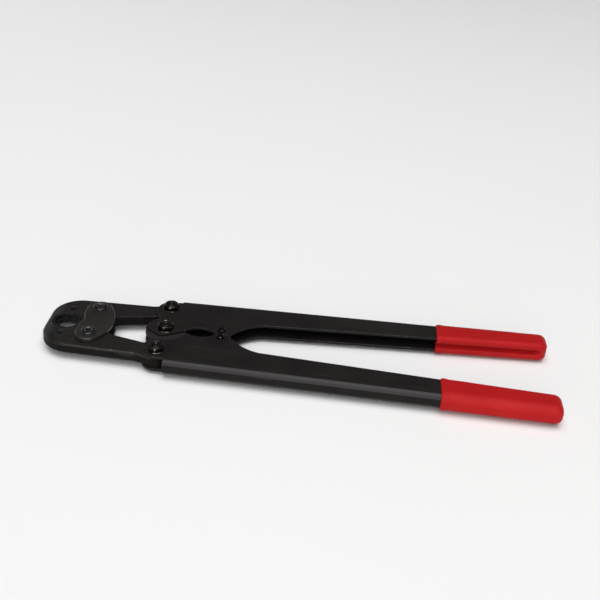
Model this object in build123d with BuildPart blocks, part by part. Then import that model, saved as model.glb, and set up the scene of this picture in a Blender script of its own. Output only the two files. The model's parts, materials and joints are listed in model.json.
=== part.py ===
from build123d import *
import math
import os

# Manual pipe press pliers with compound lever action, lying flat with the jaws closed.
# Origin: centre of the press mouth at mid thickness. +X runs back to the grips, +Z is up.
# All sizes are in millimetres. "Upper" is the +Y side, "lower" the -Y side.

os.makedirs("parts", exist_ok=True)

# Press mouth and die halves
MOUTH_RADIUS = 14.0
DIE_WALL = 3.5
DIE_FIT = 0.05
GROOVE_DEPTH = 0.9
GROOVE_WIDTH = 2.4
GROOVE_PITCH = 4.8
TANG_WIDTH = 12.0
TANG_THICKNESS = 4.0
TANG_END_WALL = 6.0
TANG_FIT = 0.1
DIE_SCREW_SETBACK = 9.5
DIE_SCREW_RADIUS = 3.0
DIE_SCREW_HEAD_RADIUS = 6.0
DIE_SCREW_CONE_ANGLE = 90.0
DIE_SCREW_KEY = 4.0
DIE_SCREW_KEY_DEPTH = 2.0

# Pivots of the linkage, as they stand with the jaws closed
HEAD_PIN_X = 32.0
HEAD_PIN_Y = 27.25
JAW_PIN_REACH = 81.0
JAW_PIN_Y = 46.0
CENTRE_SETBACK = 2.0
HANDLE_SWING = 60.0

# Forged jaws
JAW_THICKNESS = 12.0
PARTING_GAP = 0.4
TIP_WALL = 4.5
NOSE_RADIUS = 34.0
NOSE_HALF_WIDTH = 49.5
ARM_STEP_REACH = 23.0
ARM_HALF_WIDTH = 53.5
ARM_STEP_RADIUS = 20.0
ARM_INNER_REACH = 25.0
ARM_INNER_Y = 20.0
ARM_INNER_RADIUS = 9.0
JAW_BOSS_WALL = 8.0
JAW_BEVEL = 1.6

# Head plates and their pins
HEAD_PLATE_THICKNESS = 5.0
HEAD_PLATE_GAP = 0.3
HEAD_PLATE_END_WALL = 9.5
HEAD_PLATE_REAR_REACH = 22.5
HEAD_PLATE_REAR_RADIUS = 62.0
HEAD_PLATE_MOUTH_MARGIN = 2.0
HEAD_PLATE_BEVEL = 1.2
HEAD_PIN_RADIUS = 6.0
HEAD_PIN_FLOAT_GAP = 0.3
HEAD_PIN_FLOAT_STEPS = 8
HEAD_PIN_HEAD_LEDGE = 2.5
HEAD_PIN_HEAD_HEIGHT = 3.0
HEAD_PIN_HEAD_TAPER = 12.0
HEAD_PIN_KEY = 6.0
HEAD_PIN_KEY_DEPTH = 1.8
HEAD_SCREW_RADIUS = 3.0
HEAD_SCREW_LENGTH = 14.0
HEAD_SCREW_TIP_ROOM = 1.0
HEAD_SCREW_KEY = 4.0

# Pivot bolts, washers and lock nuts
PIVOT_RADIUS = 5.0
PIVOT_HEAD_LEDGE = 5.0
PIVOT_HEAD_HEIGHT = 3.6
PIVOT_HEAD_ROUND = 1.6
PIVOT_END_PROUD = 0.3
PIVOT_END_BEVEL = 1.0
WASHER_WIDTH = 5.0
WASHER_THICKNESS = 1.0
WASHER_BEVEL = 0.3
NUT_WALL = 3.5
NUT_HEX_HEIGHT = 5.0
NUT_COLLAR_WALL = 2.4
NUT_COLLAR_HEIGHT = 1.4
NUT_COLLAR_ROUND = 1.0
HEX_BEVEL_ANGLE = 45.0
SPACER_WALL = 5.0
RUNNING_GAP = 0.05
THREAD_GAP = 0.05

# Closing stops between the handles
STOP_REACH = 64.0
STOP_SLEEVE_WALL = 4.5
STOP_GAP = 0.3
STOP_BOLT_RADIUS = 2.5
STOP_HEX_WALL = 1.5
STOP_HEAD_HEIGHT = 3.0
STOP_NUT_HEIGHT = 2.7
STOP_BOLT_PROUD = 0.8
SLEEVE_END_GAP = 0.05

# Pressed channel handles; every reach is measured back from the centre bolt
SHEET_THICKNESS = 3.0
JAW_SIDE_GAP = 0.3
BEND_RADIUS = 7.0
WEB_FRONT_REACH = 9.0
WEB_MARGIN = 23.0
WEB_SPREAD = 10.7
HANDLE_REACH = 440.0
FLANGE_INNER_REACH = 111.0
FLANGE_INNER_Y = 30.0
FLANGE_END_WIDTH = 28.0
JAW_EAR_MARGIN = 2.5
CENTRE_EAR_WALL = 18.0
EAR_FLAT_MARGIN = 1.0
EAR_FLAT_ANGLE = 57.0
EAR_NOSE_MARGIN = 4.4
EAR_NOSE_ANGLE = 127.0
EAR_CORNER_RADIUS = 10.0
EAR_SWEEP_GAP = 1.2
EAR_SIDE_GAP = 0.2
FRONT_CLEAR_ANGLE = 3.0
FRONT_NOTCH_RADIUS = 5.0
FLANGE_GAP = 0.8
SCALLOP_LENGTH = 37.0
SCALLOP_DEPTH = 9.0
LOBE_REACH = 74.0
LOBE_SHOULDER_REACH = 86.0
LOBE_SHOULDER_Y = 16.5

# Dipped grips
GRIP_LENGTH = 125.0
GRIP_WALL = 2.5
GRIP_INNER_WALL = 4.0
GRIP_END_WALL = 8.0
GRIP_FIT = 0.1
GRIP_EDGE_RADIUS = 7.5
GRIP_CORNER_MARGIN = 1.5
GRIP_GROOVE_HEIGHT = 7.0
GRIP_GROOVE_DEPTH = 2.2
GRIP_GROOVE_END = 16.0

# How far a cutting shape runs past what it cuts, and how near an edge is to be picked
CUT_OVERRUN = 1.0
PICK_DISTANCE = 0.01

# Levels, radii and places worked out from the values above
die_radius = MOUTH_RADIUS + DIE_WALL
die_screw_y = die_radius + DIE_SCREW_SETBACK
die_screw_cone = math.tan(math.radians(DIE_SCREW_CONE_ANGLE / 2))
tang_reach = die_screw_y + TANG_END_WALL
parting_y = PARTING_GAP / 2
tip_x = -(die_radius + TIP_WALL)
jaw_top = JAW_THICKNESS / 2
jaw_boss_radius = PIVOT_RADIUS + JAW_BOSS_WALL
jaw_ear_radius = jaw_boss_radius + JAW_EAR_MARGIN
head_pin = (HEAD_PIN_X, HEAD_PIN_Y)
head_pin_pair = [head_pin, (HEAD_PIN_X, -HEAD_PIN_Y)]
jaw_pin = (HEAD_PIN_X + JAW_PIN_REACH, JAW_PIN_Y)
centre = (jaw_pin[0] + CENTRE_SETBACK, 0.0)
plate_bottom = jaw_top + HEAD_PLATE_GAP
plate_top = plate_bottom + HEAD_PLATE_THICKNESS
head_pin_head_radius = HEAD_PIN_RADIUS + HEAD_PIN_HEAD_LEDGE
flange_bottom = jaw_top + JAW_SIDE_GAP
flange_top = flange_bottom + SHEET_THICKNESS
flange_edge = FLANGE_GAP / 2
ear_top = flange_bottom - EAR_SIDE_GAP
ear_bottom = ear_top - SHEET_THICKNESS
centre_ear_radius = PIVOT_RADIUS + CENTRE_EAR_WALL
ear_flat_reach = PIVOT_RADIUS + WASHER_WIDTH + EAR_FLAT_MARGIN
ear_nose_reach = PIVOT_RADIUS + WASHER_WIDTH + EAR_NOSE_MARGIN
ear_flat_lean = math.radians(EAR_FLAT_ANGLE)
sweep_radius = centre_ear_radius + EAR_SWEEP_GAP
step_radius = sweep_radius + SHEET_THICKNESS
stop_sleeve_radius = STOP_BOLT_RADIUS + STOP_SLEEVE_WALL
stop = (centre[0] + STOP_REACH, stop_sleeve_radius + STOP_GAP / 2)
stop_hex_flats = 2 * (STOP_BOLT_RADIUS + STOP_HEX_WALL)
handle_end_x = centre[0] + HANDLE_REACH
web_front_x = centre[0] + WEB_FRONT_REACH
web_front_y = JAW_PIN_Y + WEB_MARGIN
web_end_y = web_front_y + WEB_SPREAD
flange_inner = (centre[0] + FLANGE_INNER_REACH, FLANGE_INNER_Y)
grip_start_x = handle_end_x - GRIP_LENGTH
grip_end_x = handle_end_x + GRIP_END_WALL
grip_top = flange_top + GRIP_WALL


def turned(point, about, degrees):
    """A point turned about another, seen from above."""
    angle = math.radians(degrees)
    x = point[0] - about[0]
    y = point[1] - about[1]
    return (
        about[0] + x * math.cos(angle) - y * math.sin(angle),
        about[1] + x * math.sin(angle) + y * math.cos(angle),
    )


# The linkage: handles turn on the centre bolt, jaws turn on the jaw bolts, and the centre
# bolt moves along X. The jaws' swing and that travel close the loop at full opening.
arm_length = math.dist(head_pin, jaw_pin)
arm_angle = math.atan2(JAW_PIN_Y - HEAD_PIN_Y, JAW_PIN_REACH)
open_jaw_pin = turned(jaw_pin, centre, HANDLE_SWING)
open_arm_angle = math.asin((open_jaw_pin[1] - HEAD_PIN_Y) / arm_length)
jaw_swing = math.degrees(arm_angle - open_arm_angle)
centre_travel = HEAD_PIN_X + arm_length * math.cos(open_arm_angle) - open_jaw_pin[0]
print(f"jaw swing {jaw_swing:.4f} deg, centre bolt travel {centre_travel:.4f} mm")


def head_pin_in_jaw(share):
    """Where the head pin stands in the upper jaw, at a share of the handles' opening."""
    pin = turned(jaw_pin, centre, HANDLE_SWING * share)
    away = (HEAD_PIN_X - pin[0] - centre_travel * share, HEAD_PIN_Y - pin[1])
    seen = turned(away, (0.0, 0.0), jaw_swing * share)
    return (jaw_pin[0] + seen[0], jaw_pin[1] + seen[1])


def arm_line_y(x):
    """The straight line through a jaw's two pivots, which parts its outer side from its inner."""
    return HEAD_PIN_Y + math.tan(arm_angle) * (x - HEAD_PIN_X)


def web_y(x):
    """Outer side of the channel handle at a distance along it."""
    slope = WEB_SPREAD / (handle_end_x - web_front_x)
    return web_front_y + slope * (x - web_front_x)


def flange_y(x):
    """Inner edge of the handle's straight flanges at a distance along it."""
    end_y = web_end_y - FLANGE_END_WIDTH
    slope = (end_y - FLANGE_INNER_Y) / (handle_end_x - flange_inner[0])
    return FLANGE_INNER_Y + slope * (x - flange_inner[0])


def at_level(edge, level):
    """Whether an edge lies at a height above or below mid thickness."""
    return abs(abs(edge.center().Z) - level) < PICK_DISTANCE


def save(piece, name):
    """Label a finished piece and write it under its own name."""
    piece.label = name
    export_step(piece, f"parts/{name}.step")


def save_pair(piece, name):
    """Write the upper piece of a mirrored pair, and its lower twin."""
    save(piece, f"upper_{name}")
    with BuildPart() as twin:
        mirror(piece, about=Plane.XZ)
    save(twin.part, f"lower_{name}")


# Upper jaw: a flat forging from the tip round the nose to the boss of the jaw bolt
with BuildPart() as upper_jaw:
    with BuildSketch(Plane.XY.offset(-jaw_top)):
        with BuildLine():
            outline = FilletPolyline(
                (tip_x, parting_y),
                (tip_x, NOSE_HALF_WIDTH),
                (jaw_pin[0] - ARM_STEP_REACH, ARM_HALF_WIDTH),
                (jaw_pin[0], JAW_PIN_Y + jaw_boss_radius),
                (jaw_pin[0], JAW_PIN_Y - jaw_boss_radius),
                (HEAD_PIN_X + ARM_INNER_REACH, ARM_INNER_Y),
                (HEAD_PIN_X, parting_y),
                radius=[NOSE_RADIUS, ARM_STEP_RADIUS, 0, 0, ARM_INNER_RADIUS],
            )
            Line(outline @ 1, outline @ 0)
        make_face()
        with Locations(jaw_pin):
            Circle(jaw_boss_radius)
    extrude(amount=JAW_THICKNESS)
    rims = upper_jaw.edges().filter_by(lambda e: at_level(e, jaw_top))
    outer_rims = rims.filter_by(
        lambda e: e.center().X < jaw_pin[0] and e.center().Y > arm_line_y(e.center().X)
    )
    tip_rims = rims.filter_by(lambda e: e.center().X < tip_x + PICK_DISTANCE)
    chamfer(ShapeList(set(outer_rims) | set(tip_rims)), JAW_BEVEL)
    # Seat of the die half, slot for its tang, and the hole of the screw that holds it
    with BuildSketch(Plane.XY.offset(-jaw_top)):
        Circle(die_radius + DIE_FIT)
    extrude(amount=JAW_THICKNESS, mode=Mode.SUBTRACT)
    with BuildSketch():
        with Locations((0, tang_reach / 2)):
            Rectangle(TANG_WIDTH + 2 * TANG_FIT, tang_reach + 2 * TANG_FIT)
    extrude(amount=TANG_THICKNESS / 2 + TANG_FIT, both=True, mode=Mode.SUBTRACT)
    with Locations((0, die_screw_y, jaw_top)):
        CounterSinkHole(
            DIE_SCREW_RADIUS + THREAD_GAP,
            DIE_SCREW_HEAD_RADIUS + THREAD_GAP,
            JAW_THICKNESS,
            DIE_SCREW_CONE_ANGLE,
        )
    # Jaw bolt hole, and the long hole in which the head pin floats
    with Locations((*jaw_pin, jaw_top)):
        Hole(PIVOT_RADIUS + RUNNING_GAP, JAW_THICKNESS)
    float_places = [
        head_pin_in_jaw(step / HEAD_PIN_FLOAT_STEPS) for step in range(HEAD_PIN_FLOAT_STEPS + 1)
    ]
    with BuildSketch(Plane.XY.offset(-jaw_top)):
        with Locations(*float_places):
            Circle(HEAD_PIN_RADIUS + HEAD_PIN_FLOAT_GAP)
        make_hull()
    extrude(amount=JAW_THICKNESS, mode=Mode.SUBTRACT)
save_pair(upper_jaw.part, "jaw")

# Die half: a half ring with press grooves, and a flat tang that enters the jaw
with BuildPart() as upper_die:
    with BuildSketch(Plane.XY.offset(-jaw_top)):
        Circle(die_radius)
    extrude(amount=JAW_THICKNESS)
    with BuildSketch():
        with Locations((0, tang_reach / 2)):
            Rectangle(TANG_WIDTH, tang_reach)
    extrude(amount=TANG_THICKNESS / 2, both=True)
    with BuildSketch(Plane.XY.offset(-jaw_top)):
        Circle(MOUTH_RADIUS)
    extrude(amount=JAW_THICKNESS, mode=Mode.SUBTRACT)
    for level in (-GROOVE_PITCH / 2, GROOVE_PITCH / 2):
        with BuildSketch(Plane.XY.offset(level)):
            Circle(MOUTH_RADIUS + GROOVE_DEPTH)
        extrude(amount=GROOVE_WIDTH / 2, both=True, mode=Mode.SUBTRACT)
    split(bisect_by=Plane.XZ.offset(-parting_y), keep=Keep.BOTTOM)
    with Locations((0, die_screw_y, jaw_top)):
        Hole(DIE_SCREW_RADIUS + TANG_FIT, JAW_THICKNESS)
save_pair(upper_die.part, "die")

# Die screw: countersunk, with a hex socket, from the jaw's top face to its underside
die_screw_head_height = (DIE_SCREW_HEAD_RADIUS - DIE_SCREW_RADIUS) / die_screw_cone
with BuildPart() as upper_die_screw:
    with BuildSketch(Plane.XY.offset(-jaw_top)):
        with Locations((0, die_screw_y)):
            Circle(DIE_SCREW_RADIUS)
    extrude(amount=JAW_THICKNESS)
    with Locations((0, die_screw_y, jaw_top - die_screw_head_height / 2)):
        Cone(DIE_SCREW_RADIUS, DIE_SCREW_HEAD_RADIUS, die_screw_head_height)
    with BuildSketch(Plane.XY.offset(jaw_top)):
        with Locations((0, die_screw_y)):
            RegularPolygon(DIE_SCREW_KEY / 2, 6, major_radius=False)
    extrude(amount=-DIE_SCREW_KEY_DEPTH, mode=Mode.SUBTRACT)
save_pair(upper_die_screw.part, "die_screw")

# Head plates: two equal cheeks that carry both head pins, cleared around the mouth
plate_end_radius = HEAD_PIN_RADIUS + HEAD_PLATE_END_WALL
plate_front_x = HEAD_PIN_X - plate_end_radius
plate_rear_x = HEAD_PIN_X + HEAD_PLATE_REAR_REACH
with BuildPart() as top_head_plate:
    with BuildSketch(Plane.XY.offset(plate_bottom)):
        with Locations(((plate_front_x + plate_rear_x) / 2, 0)):
            Rectangle(plate_rear_x - plate_front_x, 2 * HEAD_PIN_Y)
        with Locations(*head_pin_pair):
            Circle(plate_end_radius)
        make_hull()
        with Locations((plate_rear_x - HEAD_PLATE_REAR_RADIUS, 0)):
            Circle(HEAD_PLATE_REAR_RADIUS, mode=Mode.INTERSECT)
        Circle(die_radius + HEAD_PLATE_MOUTH_MARGIN, mode=Mode.SUBTRACT)
    extrude(amount=HEAD_PLATE_THICKNESS)
    chamfer(top_head_plate.faces().sort_by(Axis.Z)[-1].outer_wire().edges(), HEAD_PLATE_BEVEL)
    with Locations(*[(*place, plate_top) for place in head_pin_pair]):
        Hole(HEAD_PIN_RADIUS + RUNNING_GAP, HEAD_PLATE_THICKNESS)
save(top_head_plate.part, "top_head_plate")

with BuildPart() as bottom_head_plate:
    mirror(top_head_plate.part, about=Plane.XY)
save(bottom_head_plate.part, "bottom_head_plate")

# Head pins: two plain shanks through plates and jaws, each with a low round head on top, a hex
# socket in it, and a tapped lower end
with BuildPart() as head_pins:
    with BuildSketch(Plane.XY.offset(-plate_top)):
        with Locations(*head_pin_pair):
            Circle(HEAD_PIN_RADIUS)
    extrude(amount=2 * plate_top)
    with BuildSketch(Plane.XY.offset(plate_top)):
        with Locations(*head_pin_pair):
            Circle(head_pin_head_radius)
    extrude(amount=HEAD_PIN_HEAD_HEIGHT, taper=HEAD_PIN_HEAD_TAPER)
    with BuildSketch(Plane.XY.offset(plate_top + HEAD_PIN_HEAD_HEIGHT)):
        with Locations(*head_pin_pair):
            RegularPolygon(HEAD_PIN_KEY / 2, 6, major_radius=False)
    extrude(amount=-HEAD_PIN_KEY_DEPTH, mode=Mode.SUBTRACT)
    with BuildSketch(Plane.XY.offset(-plate_top)):
        with Locations(*head_pin_pair):
            Circle(HEAD_SCREW_RADIUS + THREAD_GAP)
    extrude(amount=HEAD_SCREW_LENGTH + HEAD_SCREW_TIP_ROOM, mode=Mode.SUBTRACT)
save(head_pins.part, "head_pins")

# Head pin screws: low round heads under the bottom plate, run up into the pins
with BuildPart() as head_pin_screws:
    with BuildSketch(Plane.XY.offset(-plate_top)):
        with Locations(*head_pin_pair):
            Circle(HEAD_SCREW_RADIUS)
    extrude(amount=HEAD_SCREW_LENGTH)
    with BuildSketch(Plane.XY.offset(-plate_top)):
        with Locations(*head_pin_pair):
            Circle(head_pin_head_radius)
    extrude(amount=-HEAD_PIN_HEAD_HEIGHT, taper=HEAD_PIN_HEAD_TAPER)
    with BuildSketch(Plane.XY.offset(-plate_top - HEAD_PIN_HEAD_HEIGHT)):
        with Locations(*head_pin_pair):
            RegularPolygon(HEAD_SCREW_KEY / 2, 6, major_radius=False)
    extrude(amount=HEAD_PIN_KEY_DEPTH, mode=Mode.SUBTRACT)
save(head_pin_screws.part, "head_pin_screws")

# Outline of the upper handle's flanges: two ears at the front, a scalloped inner edge that
# faces the other handle, the lobe of the closing stop, and the long tapering grip end.
# The scallop starts where the straight edge of the centre ear comes up to the other handle.
ear_flat_end = (ear_flat_reach + flange_edge * math.sin(ear_flat_lean)) / math.cos(ear_flat_lean)
scallop_front = (centre[0] + ear_flat_end, flange_edge)
scallop_deep = (scallop_front[0] + SCALLOP_LENGTH / 2, flange_edge + SCALLOP_DEPTH)
scallop_rear = (scallop_front[0] + SCALLOP_LENGTH, flange_edge)
lobe_rear = (centre[0] + LOBE_REACH, flange_edge)
lobe_shoulder = (centre[0] + LOBE_SHOULDER_REACH, LOBE_SHOULDER_Y)
ear_outside_y = JAW_PIN_Y + jaw_ear_radius
with BuildSketch() as handle_outline:
    with BuildLine():
        Line((centre[0], flange_edge), scallop_front)
        ThreePointArc(scallop_front, scallop_deep, scallop_rear)
        Line(scallop_rear, lobe_rear)
        ThreePointArc(lobe_rear, lobe_shoulder, flange_inner)
        Polyline(
            flange_inner,
            (handle_end_x, flange_y(handle_end_x)),
            (handle_end_x, web_end_y),
            (web_front_x, web_front_y),
            (web_front_x, ear_outside_y),
            (jaw_pin[0], ear_outside_y),
            (centre[0], flange_edge),
        )
    make_face()
    with Locations(jaw_pin):
        Circle(jaw_ear_radius)

# The part of that outline in front of the line of the two pivots, cut back between the ears
# so that the two handles stay apart when they are swung open
front_angle = 180 - HANDLE_SWING - FRONT_CLEAR_ANGLE
front_reach = JAW_PIN_Y + jaw_ear_radius
front_limit = turned((centre[0] + front_reach, 0.0), centre, front_angle)
with BuildSketch() as handle_front:
    with Locations(jaw_pin):
        Circle(jaw_ear_radius)
    with Locations(centre):
        Circle(centre_ear_radius)
    make_hull()
    with BuildLine():
        Polyline(
            centre,
            front_limit,
            (centre[0] - front_reach, front_limit[1]),
            (centre[0] - front_reach, -front_reach),
            (centre[0] + front_reach, -front_reach),
            (centre[0] + front_reach, flange_edge),
            (centre[0], flange_edge),
            close=True,
        )
    make_face(mode=Mode.SUBTRACT)

# Hollow of the channel: behind the web's front edge it stays one sheet inside the web
with BuildPart() as channel_hollow:
    with BuildSketch():
        with BuildLine():
            hollow_end_x = handle_end_x + CUT_OVERRUN
            Polyline(
                (web_front_x, -web_end_y),
                (hollow_end_x, -web_end_y),
                (hollow_end_x, web_y(hollow_end_x) - SHEET_THICKNESS),
                (web_front_x, web_front_y - SHEET_THICKNESS),
                close=True,
            )
        make_face()
    extrude(amount=flange_bottom, both=True)
    hollow_rims = channel_hollow.edges().filter_by(lambda e: at_level(e, flange_bottom))
    fillet(hollow_rims.sort_by(Axis.Y)[-2:], BEND_RADIUS - SHEET_THICKNESS)

# In front of the web the flanges stand free of each other, over their whole width
with BuildPart() as ear_hollow:
    with BuildSketch():
        with Locations((web_front_x - front_reach, 0)):
            Rectangle(2 * front_reach, 2 * (web_end_y + CUT_OVERRUN))
    extrude(amount=flange_bottom, both=True)

# Channel without its centre ears: outline, outer bends, hollow, and the holes of its bolts
with BuildPart() as channel:
    with BuildSketch(Plane.XY.offset(-flange_top)):
        add(handle_outline.sketch)
        add(handle_front.sketch)
    extrude(amount=2 * flange_top)
    web_rims = channel.edges().filter_by(lambda e: at_level(e, flange_top))
    fillet(
        web_rims.filter_by(lambda e: abs(e.center().Y - web_y(e.center().X)) < PICK_DISTANCE),
        BEND_RADIUS,
    )
    add(channel_hollow.part, mode=Mode.SUBTRACT)
    add(ear_hollow.part, mode=Mode.SUBTRACT)
    with Locations((*jaw_pin, flange_top)):
        Hole(PIVOT_RADIUS + RUNNING_GAP, 2 * flange_top)
    with Locations((*stop, flange_top)):
        Hole(STOP_BOLT_RADIUS + RUNNING_GAP, 2 * flange_top)

# Upper handle: its centre ears lie flush with its flanges, outside the lower handle's ears,
# and are cut straight past the washer, towards the lower handle and towards the front,
# with a rounded corner between the two cuts
front_notch = turned((centre[0] + centre_ear_radius, 0.0), centre, front_angle)
ear_cuts = [(ear_flat_reach, -EAR_FLAT_ANGLE), (ear_nose_reach, -EAR_NOSE_ANGLE)]
with BuildPart() as upper_handle:
    add(channel.part)
    for level in (flange_bottom, -flange_top):
        with BuildSketch(Plane.XY.offset(level)) as ear:
            with Locations(centre):
                Circle(centre_ear_radius)
            for reach, lean in ear_cuts:
                cut_middle = (centre[0] + reach + centre_ear_radius, 0.0)
                with Locations(turned(cut_middle, centre, lean)):
                    Rectangle(
                        2 * centre_ear_radius,
                        2 * centre_ear_radius,
                        rotation=lean,
                        mode=Mode.SUBTRACT,
                    )
            fillet(ear.vertices().sort_by(Axis.Y)[:1], EAR_CORNER_RADIUS)
        extrude(amount=SHEET_THICKNESS)
    uprights = upper_handle.edges().filter_by(Axis.Z)
    fillet(
        uprights.filter_by(
            lambda e: math.dist((e.center().X, e.center().Y), front_notch) < PICK_DISTANCE
        ),
        FRONT_NOTCH_RADIUS,
    )
    with Locations((*centre, flange_top)):
        Hole(PIVOT_RADIUS + RUNNING_GAP, 2 * flange_top)
save(upper_handle.part, "upper_handle")

# Lower handle: its centre ears are stepped inwards by one sheet, to lie between the upper ears
with BuildPart() as lower_handle:
    mirror(channel.part, about=Plane.XZ)
    with BuildSketch(Plane.XY.offset(-flange_top)):
        with Locations(centre):
            Circle(sweep_radius)
    extrude(amount=2 * flange_top, mode=Mode.SUBTRACT)
    for lift in (1, -1):
        with BuildSketch(Plane.XY.offset(lift * ear_bottom)):
            with Locations(centre):
                Circle(step_radius)
            mirror(handle_outline.sketch, about=Plane.XZ, mode=Mode.INTERSECT)
            with Locations(centre):
                Circle(centre_ear_radius)
        extrude(amount=lift * SHEET_THICKNESS)
        with BuildSketch(Plane.XY.offset(lift * ear_bottom)):
            with Locations(centre):
                Circle(step_radius)
                Circle(sweep_radius, mode=Mode.SUBTRACT)
            mirror(handle_outline.sketch, about=Plane.XZ, mode=Mode.INTERSECT)
        extrude(amount=lift * (flange_top - ear_bottom))
    with Locations((*centre, flange_top)):
        Hole(PIVOT_RADIUS + RUNNING_GAP, 2 * flange_top)
save(lower_handle.part, "lower_handle")

# Pocket of the upper grip, which the channel fills, rounded like the channel's outer bends
pocket_start_x = grip_start_x - CUT_OVERRUN
pocket_top = flange_top + GRIP_FIT
with BuildPart() as grip_pocket:
    with BuildSketch():
        with BuildLine():
            Polyline(
                (pocket_start_x, flange_y(pocket_start_x) - GRIP_FIT),
                (handle_end_x + GRIP_FIT, flange_y(handle_end_x) - GRIP_FIT),
                (handle_end_x + GRIP_FIT, web_end_y + GRIP_FIT),
                (pocket_start_x, web_y(pocket_start_x) + GRIP_FIT),
                close=True,
            )
        make_face()
    extrude(amount=pocket_top, both=True)
    pocket_rims = grip_pocket.edges().filter_by(lambda e: at_level(e, pocket_top))
    fillet(pocket_rims.sort_by(Axis.Y)[-2:], BEND_RADIUS)

# Groove along the upper grip's inner side, where the dip sinks into the channel's open side
groove_end_x = grip_end_x - GRIP_GROOVE_END
with BuildPart() as grip_groove:
    with BuildSketch():
        with BuildLine():
            Polyline(
                (pocket_start_x, flange_y(pocket_start_x) - GRIP_INNER_WALL + GRIP_GROOVE_DEPTH),
                (groove_end_x, flange_y(groove_end_x) - GRIP_INNER_WALL + GRIP_GROOVE_DEPTH),
                (groove_end_x + GRIP_INNER_WALL, flange_y(groove_end_x) - 2 * GRIP_INNER_WALL),
                (pocket_start_x, flange_y(pocket_start_x) - 2 * GRIP_INNER_WALL),
                close=True,
            )
        make_face()
    extrude(amount=GRIP_GROOVE_HEIGHT / 2, both=True)

# Upper grip: a dipped sleeve with a closed rounded end
with BuildPart() as upper_grip:
    with BuildSketch(Plane.XY.offset(-grip_top)):
        with BuildLine():
            grip_line = FilletPolyline(
                (grip_start_x, flange_y(grip_start_x) - GRIP_INNER_WALL),
                (grip_end_x, flange_y(grip_end_x) - GRIP_INNER_WALL),
                (grip_end_x, web_y(grip_end_x) + GRIP_WALL),
                (grip_start_x, web_y(grip_start_x) + GRIP_WALL),
                radius=GRIP_EDGE_RADIUS + GRIP_CORNER_MARGIN,
            )
            Line(grip_line @ 1, grip_line @ 0)
        make_face()
    extrude(amount=2 * grip_top)
    grip_rims = upper_grip.edges().filter_by(lambda e: at_level(e, grip_top))
    fillet(grip_rims.filter_by(lambda e: e.center().X > grip_start_x + PICK_DISTANCE), GRIP_EDGE_RADIUS)
    add(grip_pocket.part, mode=Mode.SUBTRACT)
    add(grip_groove.part, mode=Mode.SUBTRACT)
save_pair(upper_grip.part, "grip")


def bevelled_hexagon(place, flats, bottom, height):
    """Hexagon block whose upper corners are cut back by a cone, as on a nut or a bolt head."""
    spread = height * math.tan(math.radians(HEX_BEVEL_ANGLE))
    with BuildPart() as block:
        with BuildSketch(Plane.XY.offset(bottom)):
            with Locations(place):
                RegularPolygon(flats / 2, 6, major_radius=False)
        extrude(amount=height)
        with Locations((*place, bottom + height / 2)):
            Cone(flats / 2 + spread, flats / 2, height, mode=Mode.INTERSECT)
    return block.part


def pivot_bolt(place):
    """Bolt with a low domed head below and a plain end above, through both flanges."""
    nut_top = flange_top + WASHER_THICKNESS + NUT_HEX_HEIGHT + NUT_COLLAR_HEIGHT
    with BuildPart() as bolt:
        with BuildSketch(Plane.XY.offset(-flange_top - PIVOT_HEAD_HEIGHT)):
            with Locations(place):
                Circle(PIVOT_RADIUS + PIVOT_HEAD_LEDGE)
        extrude(amount=PIVOT_HEAD_HEIGHT)
        fillet(bolt.edges().sort_by(Axis.Z)[0], PIVOT_HEAD_ROUND)
        with BuildSketch(Plane.XY.offset(-flange_top)):
            with Locations(place):
                Circle(PIVOT_RADIUS)
        extrude(amount=flange_top + nut_top + PIVOT_END_PROUD)
        chamfer(bolt.edges().sort_by(Axis.Z)[-1], PIVOT_END_BEVEL)
    return bolt.part


def pivot_washer(place):
    """Flat washer on the upper flange."""
    with BuildPart() as washer:
        with BuildSketch(Plane.XY.offset(flange_top)):
            with Locations(place):
                Circle(PIVOT_RADIUS + WASHER_WIDTH)
                Circle(PIVOT_RADIUS + RUNNING_GAP, mode=Mode.SUBTRACT)
        extrude(amount=WASHER_THICKNESS)
        chamfer(washer.faces().sort_by(Axis.Z)[-1].outer_wire().edges(), WASHER_BEVEL)
    return washer.part


def pivot_nut(place):
    """Lock nut: a hexagon with bevelled corners under a round collar."""
    nut_bottom = flange_top + WASHER_THICKNESS
    hexagon = bevelled_hexagon(place, 2 * (PIVOT_RADIUS + NUT_WALL), nut_bottom, NUT_HEX_HEIGHT)
    with BuildPart() as nut:
        add(hexagon)
        with BuildSketch(Plane.XY.offset(nut_bottom + NUT_HEX_HEIGHT)):
            with Locations(place):
                Circle(PIVOT_RADIUS + NUT_COLLAR_WALL)
        extrude(amount=NUT_COLLAR_HEIGHT)
        fillet(nut.edges().sort_by(Axis.Z)[-1], NUT_COLLAR_ROUND)
        with Locations((*place, nut_bottom + NUT_HEX_HEIGHT + NUT_COLLAR_HEIGHT)):
            Hole(PIVOT_RADIUS + THREAD_GAP, NUT_HEX_HEIGHT + NUT_COLLAR_HEIGHT)
    return nut.part


save_pair(pivot_bolt(jaw_pin), "jaw_bolt")
save_pair(pivot_washer(jaw_pin), "jaw_washer")
save_pair(pivot_nut(jaw_pin), "jaw_nut")
save(pivot_bolt(centre), "centre_bolt")
save(pivot_washer(centre), "centre_washer")
save(pivot_nut(centre), "centre_nut")

# Centre spacer: a bush between the lower handle's stepped ears
with BuildPart() as centre_spacer:
    with BuildSketch():
        with Locations(centre):
            Circle(PIVOT_RADIUS + SPACER_WALL)
            Circle(PIVOT_RADIUS + RUNNING_GAP, mode=Mode.SUBTRACT)
    extrude(amount=ear_bottom - SLEEVE_END_GAP, both=True)
save(centre_spacer.part, "centre_spacer")

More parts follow.
